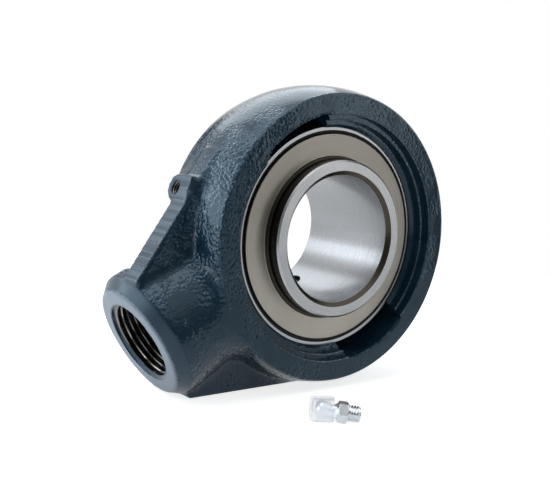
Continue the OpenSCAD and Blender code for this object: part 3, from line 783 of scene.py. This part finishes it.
def ground_steel(name, dark, light, rough_low, rough_high, colour_and_shade_bands=()):
    """Metal with fine turning lines round the bore axis and slow cloudy changes of shade. Each band
    has a colour, its own tone or a painted shade, and two distances from the axis, between which the
    metal has that colour instead."""
    finish, tree, shader, spot = new_finish(name)
    distance, angle, along = bore_polar(tree, spot)
    lines = node(tree, "CombineXYZ", {
        "X": math_of(tree, "MULTIPLY", distance, LINES_PER_METRE),
        "Y": math_of(tree, "MULTIPLY", along, LINES_PER_METRE),
        "Z": math_of(tree, "MULTIPLY", angle, LINE_WANDER),
    }).outputs[0]
    streak = noise(tree, lines, 1.0, 3.0, 0.6)
    cloud = noise(tree, spot, 60.0, 2.0)
    shade = math_of(tree, "ADD", math_of(tree, "MULTIPLY", streak, 0.6),
                    math_of(tree, "MULTIPLY", cloud, 0.4))
    tone = ramp(tree, shade, (0.35, dark), (0.65, light))
    for colour, inside, outside in colour_and_shade_bands:
        above = math_of(tree, "GREATER_THAN", distance, inside)
        below = math_of(tree, "LESS_THAN", distance, outside)
        tone = colour_mix(tree, math_of(tree, "MULTIPLY", above, below), tone, colour)
    tree.links.new(tone, shader.inputs["Base Color"])
    tree.links.new(ramp(tree, streak, (0.3, rough_low), (0.7, rough_high)), shader.inputs["Roughness"])
    bumped(tree, shader, streak, 0.05, 0.04 * MM)
    shader.inputs["Metallic"].default_value = 1.0
    return finish


print("ground steel ready")

# %% [markdown]
# The honed bore of the inner ring is a little darker than its ground face. Where no stone reaches, the
# oxide of hardening stays brown in the chamfers of the bore. The inner ring's outside, under the
# slinger's collar, is painted nearly black as painted shade. The slingers are plain sheet steel of a
# khaki grey with a collar darkened as painted shade, and the balls are polished.

# %% Steels of the bearing
RING_TONES = (0.44, 0.45, 0.465), (0.56, 0.57, 0.585)
HONED_BORE = ((0.272, 0.277, 0.287), 0.0, 25.1 * MM)
# Painted shade: the inner ring's outside under the slinger, nearly black.
PAINTED_SHADE_OUTSIDE = ((0.030, 0.031, 0.028), 30.85 * MM, 40 * MM)
BROWN_CHAMFER = ((0.085, 0.074, 0.062), 25.12 * MM, 26.72 * MM)
# Painted shade: the slinger's collar, darker than the disc.
PAINTED_SHADE_COLLAR = ((0.075, 0.070, 0.058), 0.0, 32.25 * MM)
ring_steel = ground_steel("ring_steel", *RING_TONES, 0.22, 0.32)
inner_steel = ground_steel(
    "inner_steel", *RING_TONES, 0.22, 0.32, [HONED_BORE, PAINTED_SHADE_OUTSIDE, BROWN_CHAMFER])
slinger_steel = ground_steel(
    "slinger_steel", (0.46, 0.433, 0.38), (0.55, 0.522, 0.463), 0.38, 0.50, [PAINTED_SHADE_COLLAR])
ball_steel = ground_steel("ball_steel", (0.76, 0.77, 0.78), (0.82, 0.83, 0.84), 0.06, 0.10)
cage_steel = ground_steel("cage_steel", (0.40, 0.39, 0.37), (0.52, 0.51, 0.49), 0.35, 0.5)
steels = (ring_steel, inner_steel, slinger_steel, ball_steel, cage_steel)
print("finishes:", *(finish.name for finish in steels))

# %% [markdown]
# The seals are moulded nitrile rubber, dull black with a faint mottling. The set screws are black
# oxide steel with a thin film of oil. Both stay dark whatever the light does. The solids of rings,
# balls, cage, seals and check valve are right as they are, so they only get their finishes.


# %% Rubber, black oxide and the dressed solids
def dark_finish(name, low, high, rough_low, rough_high, metallic, scale):
    """A dark surface with cloudy changes of shade and gloss."""
    finish, tree, shader, spot = new_finish(name)
    cloud = noise(tree, spot, scale, 4.0)
    tree.links.new(ramp(tree, cloud, (0.3, low), (0.7, high)), shader.inputs["Base Color"])
    tree.links.new(ramp(tree, cloud, (0.3, rough_low), (0.7, rough_high)), shader.inputs["Roughness"])
    bumped(tree, shader, cloud, 0.1, 0.2 * MM)
    shader.inputs["Metallic"].default_value = metallic
    return finish


def dress(finish, *names):
    """Gives CAD solids their finish."""
    for name in names:
        solids[name].data.materials.clear()
        solids[name].data.materials.append(finish)


seal_rubber = dark_finish("seal_rubber", 0.010, 0.022, 0.55, 0.75, 0.0, 700.0)
black_oxide = dark_finish("black_oxide", 0.045, 0.085, 0.30, 0.42, 1.0, 900.0)
balls = [f"ball_{number:02d}" for number in range(1, 11)]
dress(ring_steel, "outer_ring")
dress(inner_steel, "inner_ring")
dress(ball_steel, "nipple_check_ball", *balls)
dress(cage_steel, "cage_front", "cage_back", "cage_rivets", "nipple_spring")
dress(seal_rubber, "front_seal", "back_seal")
print("finishes:", seal_rubber.name, black_oxide.name)

# %% [markdown]
# A slinger is pressed from sheet steel: a flat disc that keeps dirt away from the seal, and a short
# collar that grips the inner ring. Pressing rounds its bends, so its outline gets rounded corners and
# is then turned round the bore axis.


# %% Slingers
def rounded_outline(corners, cuts, steps=5):
    """A closed outline whose corners become parabolas. With a corner B, and A and C at the cut's length
    along its two sides, the curve is (1-t)(1-t) A + 2t(1-t) B + tt C for t from 0 to 1."""
    corners = np.asarray(corners, float)
    cuts = np.asarray(cuts, float)[:, None]
    back, ahead = np.roll(corners, 1, axis=0) - corners, np.roll(corners, -1, axis=0) - corners
    start = corners + cuts * back / np.linalg.norm(back, axis=1, keepdims=True)
    stop = corners + cuts * ahead / np.linalg.norm(ahead, axis=1, keepdims=True)
    t = np.linspace(0, 1, steps)[None, :, None]
    curve = (1 - t) ** 2 * start[:, None] + 2 * t * (1 - t) * corners[:, None] + t**2 * stop[:, None]
    return curve.reshape(-1, 2)


def turned_piece(name, outline, sides, place, ways, finish, body, stands_for):
    """A closed outline of (radius, height) turned round an axis into a closed ring."""
    radius = np.repeat(outline[:, :1], sides, axis=1)
    points = turned(radius, outline[:, 1], place, *ways)
    mesh = mesh_from(name, points, [grid_faces(len(outline), sides, looped=True)])
    weld(mesh, outward=True)
    mesh.materials.append(finish)
    return add_piece(name, mesh, body, [stands_for])


SLINGER_SIDES = 144
slinger_corners = np.array((
    (31.0, 11.6), (40.71, 11.6), (40.71, 12.5), (32.3, 12.5),
    (31.9, 12.9), (31.9, 14.1), (31.0, 14.1),
)) * MM
slinger_cuts = np.array((0.05, 0.2, 0.32, 0.2, 0.2, 0.25, 0.15)) * MM
slinger_outline = rounded_outline(slinger_corners, slinger_cuts)
bore_ways = (np.array((1.0, 0.0, 0.0)), np.array((0.0, 0.0, 1.0)), bore_way)
for side, way in (("front", -1), ("back", 1)):
    turned_piece(
        f"{side}_slinger_disc", slinger_outline * np.array((1, way)), SLINGER_SIDES, (0, 0, 0),
        bore_ways, slinger_steel, "inner", f"{side}_slinger")

# %% [markdown]
# Two set screws lock the inner ring on the shaft. Each has a hexagon socket, a thread and a cup point.
# One grid makes it: the rows go from the socket's floor up its six-sided wall, over the rim, down the
# thread and into the cup. Because a row's radius may change with the angle, the hexagon needs no grid of
# its own.


# %% Set screw outline
def hexagon(across_flats, angle):
    """Radius of a regular hexagon: half its width over flats, divided by the cosine of the angle from
    the middle of the nearest flat."""
    return across_flats / 2 / np.cos(np.mod(angle, np.pi / 3) - np.pi / 6)


SCREW_RADIUS, SCREW_LENGTH, SCREW_TIP = 5.0 * MM, 7.0 * MM, 26.0 * MM
SCREW_PITCH, SCREW_THREAD = 1.25 * MM, 0.72 * MM
SOCKET_FLATS, SOCKET_DEPTH, SOCKET_RIM = 5.0 * MM, 3.5 * MM, 2.85 * MM
CUP_RADIUS, CUP_DEPTH = 2.5 * MM, 0.5 * MM
SOCKET_CUT, TOP_CUT, TIP_CUT = 0.3 * MM, 0.6 * MM, 1.0 * MM
SCREW_ROWS_PER_PITCH, SCREW_SIDES = 8, 72
angle = np.linspace(0, 2 * np.pi, SCREW_SIDES, endpoint=False)[None, :]
flat = np.ones_like(angle)
socket = hexagon(SOCKET_FLATS, angle)
screw_top = SCREW_TIP + SCREW_LENGTH
thread_rows = int(SCREW_ROWS_PER_PITCH * SCREW_LENGTH / SCREW_PITCH)
thread_along = np.linspace(screw_top, SCREW_TIP, thread_rows)[:, None]
thread_end = np.minimum(
    screw_top - thread_along + SCREW_RADIUS - TOP_CUT, thread_along - SCREW_TIP + SCREW_RADIUS - TIP_CUT)
groove_depth = SCREW_THREAD * (1 - thread_wave(angle, thread_along, SCREW_PITCH))
thread_radius = np.minimum(SCREW_RADIUS - groove_depth, thread_end)
screw_rows = [
    (0 * flat, screw_top - SOCKET_DEPTH), (socket, screw_top - SOCKET_DEPTH),
    (socket, screw_top - SOCKET_CUT), (np.maximum(socket, SOCKET_RIM * flat), screw_top),
]
cup_rows = [
    (CUP_RADIUS * flat, SCREW_TIP), (CUP_RADIUS / 2 * flat, SCREW_TIP + CUP_DEPTH),
    (0 * flat, SCREW_TIP + CUP_DEPTH),
]
screw_radius = np.concatenate(
    [row for row, _ in screw_rows] + [thread_radius] + [row for row, _ in cup_rows])
screw_along = np.concatenate((
    [along for _, along in screw_rows], thread_along[:, 0], [along for _, along in cup_rows],
))
print("set screw rows:", len(screw_radius))

# %% [markdown]
# Both screws have the same outline. Each is turned round its own line, which stands square to the bore
# axis near the wide end of the inner ring, so only the direction differs.

# %% Set screws
SCREW_ALONG_BORE = 22.6 * MM
for number, turn in (("1", math.radians(-72)), ("2", math.radians(-134))):
    out = np.array((math.cos(turn), 0.0, math.sin(turn)))
    screw_points = turned(
        screw_radius, screw_along, SCREW_ALONG_BORE * bore_way, np.cross(bore_way, out), bore_way, out)
    screw_name = f"set_screw_{number}"
    screw_mesh = mesh_from(
        f"{screw_name}_body", screw_points, [grid_faces(len(screw_radius), SCREW_SIDES)])
    weld(screw_mesh, outward=True)
    screw_mesh.materials.append(black_oxide)
    add_piece(f"{screw_name}_body", screw_mesh, screw_name, [screw_name])

# %% [markdown]
# The grease nipple lies on the floor with its cap on. The cap lies flat and the nipple leans inside it
# until its hexagon or thread touches the floor too. Its three directions follow from the lean and from
# the turn on the floor, and its place from the point where the head rests on the cap's wall. The
# nipple is zinc-plated, so it mirrors its surroundings with a faint cloudiness.

# %% Nipple's place and zinc
NIPPLE_LEAN, NIPPLE_TURN = math.radians(6.2734), math.radians(-35.0)
HEAD_REST, HEX_START, THREAD_START, NIPPLE_END = np.array((4.95, 9.7, 13.2, 17.8)) * MM
HEAD_RADIUS = 3.25 * MM
CAP_RADIUS, CAP_REST = 4.6 * MM, 1.15 * MM
upright = np.array((0.0, 0.0, 1.0))
flat_way = np.array((math.cos(NIPPLE_TURN), math.sin(NIPPLE_TURN), 0.0))
nipple_axis = math.cos(NIPPLE_LEAN) * flat_way - math.sin(NIPPLE_LEAN) * upright
nipple_up = math.sin(NIPPLE_LEAN) * flat_way + math.cos(NIPPLE_LEAN) * upright
nipple_ways = (np.cross(nipple_up, nipple_axis), nipple_up, nipple_axis)
cap_end = np.array((-34.6 * MM, -46.8 * MM, FLOOR))
nipple_place = (
    cap_end + HEAD_REST * flat_way + CAP_REST * upright + HEAD_RADIUS * nipple_up
    - HEAD_REST * nipple_axis
)

zinc, tree, shader, spot = new_finish("bright_zinc")
cloud = noise(tree, spot, 500.0, 3.0)
tone = ramp(tree, cloud, (0.3, (0.80, 0.85, 0.89)), (0.7, (0.90, 0.93, 0.96)))
tree.links.new(tone, shader.inputs["Base Color"])
tree.links.new(ramp(tree, cloud, (0.3, 0.07), (0.7, 0.16)), shader.inputs["Roughness"])
bumped(tree, shader, cloud, 0.06, 0.2 * MM)
shader.inputs["Metallic"].default_value = 1.0
print("finish:", zinc.name, "nipple at", np.round(nipple_place, 4))

# %% [markdown]
# The nipple is turned from hexagon bar: a round head for the grease gun, a neck, the hexagon and a
# short thread. A passage runs through it, with a check ball at its inlet. Its rows go from the inlet
# along the outside to the thread's end and back through the passage, so the grid is looped. A cone on
# each end of the hexagon cuts its corners, as the lathe does.

# %% Grease nipple
NIPPLE_HEX, HEX_CORNER_CUT = 7.0 * MM, 3.45 * MM
NIPPLE_CREST, NIPPLE_TIP = 3.0 * MM, 2.3 * MM
NIPPLE_PITCH, NIPPLE_THREAD, THREAD_RELIEF = 1.0 * MM, 0.58 * MM, 0.25 * MM
HEX_CONE_SLOPE = 1.7
NIPPLE_THREAD_ROWS, NIPPLE_SIDES = 52, 72
angle = np.linspace(0, 2 * np.pi, NIPPLE_SIDES, endpoint=False)[None, :]
flat = np.ones_like(angle)
head_outline = np.array((
    (0.80, 1.70), (1.50, 1.70), (2.10, 1.90), (2.75, 2.55), (3.15, 3.30), (3.25, 3.90), (3.25, 4.75),
    (3.10, 5.05), (2.45, 6.25), (2.30, 6.60), (2.25, 7.00), (2.25, 8.10), (2.40, 8.60), (2.85, 9.25),
    (3.30, 9.66),
)) * MM
hex_along = np.array((9.70, 9.85, 10.05, 10.35, 12.55, 12.85, 13.05, 13.20)) * MM
from_hex_end = np.minimum(hex_along - HEX_START, THREAD_START - hex_along)
hex_cone = HEX_CORNER_CUT + HEX_CONE_SLOPE * from_hex_end
hex_radius = np.minimum(hexagon(NIPPLE_HEX, angle), hex_cone[:, None])
relief_outline = np.array(((2.60, 13.22), (2.42, 13.30))) * MM
thread_along = np.linspace(THREAD_START + THREAD_RELIEF, NIPPLE_END, NIPPLE_THREAD_ROWS)[:, None]
groove_depth = NIPPLE_THREAD * (1 - thread_wave(angle, thread_along, NIPPLE_PITCH))
thread_radius = np.minimum(NIPPLE_CREST - groove_depth, NIPPLE_END - thread_along + NIPPLE_TIP)
passage_outline = np.array(
    ((0.80, 17.80), (0.80, 14.55), (1.35, 13.20), (1.35, 3.02), (0.80, 1.72))) * MM
nipple_radius = np.concatenate((
    head_outline[:, :1] * flat, hex_radius, relief_outline[:, :1] * flat,
    thread_radius, passage_outline[:, :1] * flat,
))
nipple_along = np.concatenate((
    head_outline[:, 1], hex_along, relief_outline[:, 1], thread_along[:, 0], passage_outline[:, 1],
))
nipple_points = turned(nipple_radius, nipple_along, nipple_place, *nipple_ways)
nipple_mesh = mesh_from(
    "nipple_turned", nipple_points, [grid_faces(len(nipple_radius), NIPPLE_SIDES, looped=True)])
weld(nipple_mesh, outward=True)
nipple_mesh.materials.append(zinc)
add_piece("nipple_turned", nipple_mesh, "nipple", ["nipple_body"])

# %% [markdown]
# A soft cap of milky polyethylene keeps the nipple's head clean. It is a thin-walled cup with a rounded
# end and a lip, so its outline is rounded and turned like a slinger's. Most light passes through the
# wall. A low index of refraction keeps it from looking like solid glass, and a rough surface scatters
# the light, so the head shows only as a grey shade inside.

# %% Dust cap
cap_plastic, tree, shader, spot = new_finish("cap_plastic")
cloud = noise(tree, spot, 160.0, 2.0)
tone = ramp(tree, cloud, (0.3, (0.965, 0.972, 1.0)), (0.7, (0.985, 0.99, 1.0)))
tree.links.new(tone, shader.inputs["Base Color"])
tree.links.new(ramp(tree, cloud, (0.3, 0.40), (0.7, 0.50)), shader.inputs["Roughness"])
shader.inputs["Transmission Weight"].default_value = 0.80
shader.inputs["IOR"].default_value = 1.08

CAP_SIDES = 72
cap_ways = (np.cross(upright, flat_way), upright, flat_way)
cap_place = cap_end + CAP_RADIUS * upright
cap_corners = np.array((
    (0.02, 0.0), (4.25, 0.0), (4.6, 1.9), (4.6, 7.6), (4.35, 7.75),
    (4.35, 8.6), (3.5, 8.6), (3.5, 1.1), (0.02, 1.1),
)) * MM
cap_cuts = np.array((0.005, 1.1, 0.8, 0.06, 0.06, 0.2, 0.15, 0.6, 0.005)) * MM
turned_piece(
    "nipple_cap_cup", rounded_outline(cap_corners, cap_cuts), CAP_SIDES, cap_place, cap_ways,
    cap_plastic, "nipple_cap", "nipple_cap")

# %% [markdown]
# The object lies on plain pale ground before white, like a catalogue picture. The camera sees the floor
# glow almost to white, also through the cap, and the object's soft shadow stays on it.
# In the metal and the paint the floor is mirrored weaker, most of all in front, where a photographer
# and the edge of the table keep the light away.

# %% Floor
FLOOR_RADIUS, FLOOR_SIDES = 0.36, 96
FLOOR_SEEN, MIRRORED_IN_FRONT, MIRRORED_BEHIND = 0.78, 0.22, 0.66
MIRROR_FADE = -0.12, 0.04
stage_finish, tree, shader, spot = new_finish("stage_white")
shader.inputs["Base Color"].default_value = (0.72, 0.72, 0.72, 1.0)
shader.inputs["Roughness"].default_value = 0.9
shader.inputs["Specular IOR Level"].default_value = 0.0
path = tree.nodes.new("ShaderNodeLightPath").outputs
depth = node(tree, "SeparateXYZ", {0: spot}).outputs["Y"]
mirrored = span(tree, depth, *MIRROR_FADE, MIRRORED_IN_FRONT, MIRRORED_BEHIND, smooth=True)
seen = math_of(tree, "MAXIMUM", path["Is Camera Ray"], path["Is Transmission Ray"])
glow_strength = math_of(
    tree, "MAXIMUM", math_of(tree, "MULTIPLY", seen, FLOOR_SEEN),
    math_of(tree, "MULTIPLY", path["Is Glossy Ray"], mirrored))
glow = node(tree, "Emission", {"Color": (1, 1, 1, 1), "Strength": glow_strength})
both = node(tree, "AddShader", {0: shader.outputs[0], 1: glow.outputs[0]})
tree.links.new(both.outputs[0], tree.nodes["Material Output"].inputs["Surface"])

floor_angle = np.linspace(0, 2 * np.pi, FLOOR_SIDES, endpoint=False)
floor_points = np.stack((
    FLOOR_RADIUS * np.cos(floor_angle), FLOOR_RADIUS * np.sin(floor_angle),
    np.full(FLOOR_SIDES, FLOOR),
), axis=1)
floor_mesh = mesh_from("floor", floor_points, [np.arange(FLOOR_SIDES)[None, :]])
floor_mesh.materials.append(stage_finish)
floor = bpy.data.objects.new("floor", floor_mesh)
bpy.context.scene.collection.objects.link(floor)
print("floor at", round(FLOOR, 5))

# %% [markdown]
# The world is a white tent, and the camera sees it as plain white. Gloss shows what else is in the room.
# The low front and the camera's own place are dark, so the faces that look forward stay deep in tone.
# A narrow bright strip in the dark front, stronger higher up, gives the flat steel faces their grey. A
# small dark gap behind the object is mirrored in the bore. Matt surfaces get less than half of the tent.

# %% World
LOW_FRONT = (0.42, -0.83, -0.37)
STRIP_SIDE = (0.755, 0.656, 0.0)
GAP_WAY = (0.203, 0.953, 0.225)
world = bpy.data.worlds.new("studio")
world.use_nodes = True
tree = world.node_tree
path = tree.nodes.new("ShaderNodeLightPath").outputs
heading = tree.nodes.new("ShaderNodeTexCoord").outputs["Generated"]
to_front = reach(tree, heading, LOW_FRONT)
dark_front = span(tree, to_front, 0.2, 0.9, 1.0, 0.16, smooth=True)
dark_camera = span(tree, reach(tree, heading, -forward), 0.60, 0.97, 1.0, 0.15, smooth=True)
dark_gap = span(tree, reach(tree, heading, GAP_WAY), 0.980, 0.9962, 1.0, 0.1, smooth=True)
off_strip = math_of(tree, "ABSOLUTE", reach(tree, heading, STRIP_SIDE))
strip = span(tree, off_strip, 0.02, 0.10, 1.5, 0.0, smooth=True)
strip = math_of(tree, "MULTIPLY", strip, math_of(tree, "GREATER_THAN", to_front, 0.3))
height = node(tree, "SeparateXYZ", {0: heading}).outputs["Z"]
strip = math_of(tree, "MULTIPLY", strip, span(tree, height, -0.14, 0.02, 1.0, 1.35))
tent = math_of(tree, "MULTIPLY", math_of(tree, "MULTIPLY", dark_front, dark_camera), dark_gap)
tent = math_of(tree, "ADD", tent, strip)
share = math_of(tree, "MULTIPLY_ADD", path["Is Glossy Ray"], 0.58, 0.42)
seen = math_of(tree, "MAXIMUM", path["Is Camera Ray"], path["Is Transmission Ray"])
strength = math_of(tree, "MAXIMUM", seen, math_of(tree, "MULTIPLY", share, tent))
back = tree.nodes["Background"]
back.inputs["Color"].default_value = (1, 1, 1, 1)
tree.links.new(strength, back.inputs["Strength"])
bpy.context.scene.world = world
print("world:", world.name)

# %% [markdown]
# Five soft lamps give the paint its highlights and the bore its bands. A key lamp behind on the left
# makes the bright band across the bore. Two lamps high at the back leave a gap between them, which
# shows as the dark band below it, and the wider one lights the ring's top. A lamp above and one low on
# the left keep the hub, the strip and the crown from going flat.


# %% Lamps
COOL_WHITE = (0.88, 0.95, 1.0)


def lamp(name, place, width, height, watts):
    """A soft lamp at a place, turned to the bearing's centre."""
    light = bpy.data.lights.new(name, "AREA")
    light.shape = "RECTANGLE"
    light.size, light.size_y = width, height
    light.energy = watts
    light.color = COOL_WHITE
    made = bpy.data.objects.new(name, light)
    bpy.context.scene.collection.objects.link(made)
    away = np.asarray(place, float)
    away = away / np.linalg.norm(away)
    across = np.cross(upright, away)
    across /= np.linalg.norm(across)
    made.matrix_world = placing((across, np.cross(away, across), away), place)


lamp("key", (-0.442, 0.474, 0.236), 0.30, 0.19, 0.48)
lamp("back_left", (-0.320, 0.440, 0.425), 0.17, 0.37, 0.36)
lamp("back_right", (0.172, 0.474, 0.470), 0.52, 0.37, 0.95)
lamp("top", (-0.16, 0.04, 0.60), 0.50, 0.50, 1.2)
lamp("side", (-0.55, 0.22, 0.06), 0.55, 0.50, 1.6)
print("lamps:", len(bpy.data.lights))

# %% [markdown]
# The picture uses the Standard view transform.

bpy.context.scene.view_settings.view_transform = "Standard"
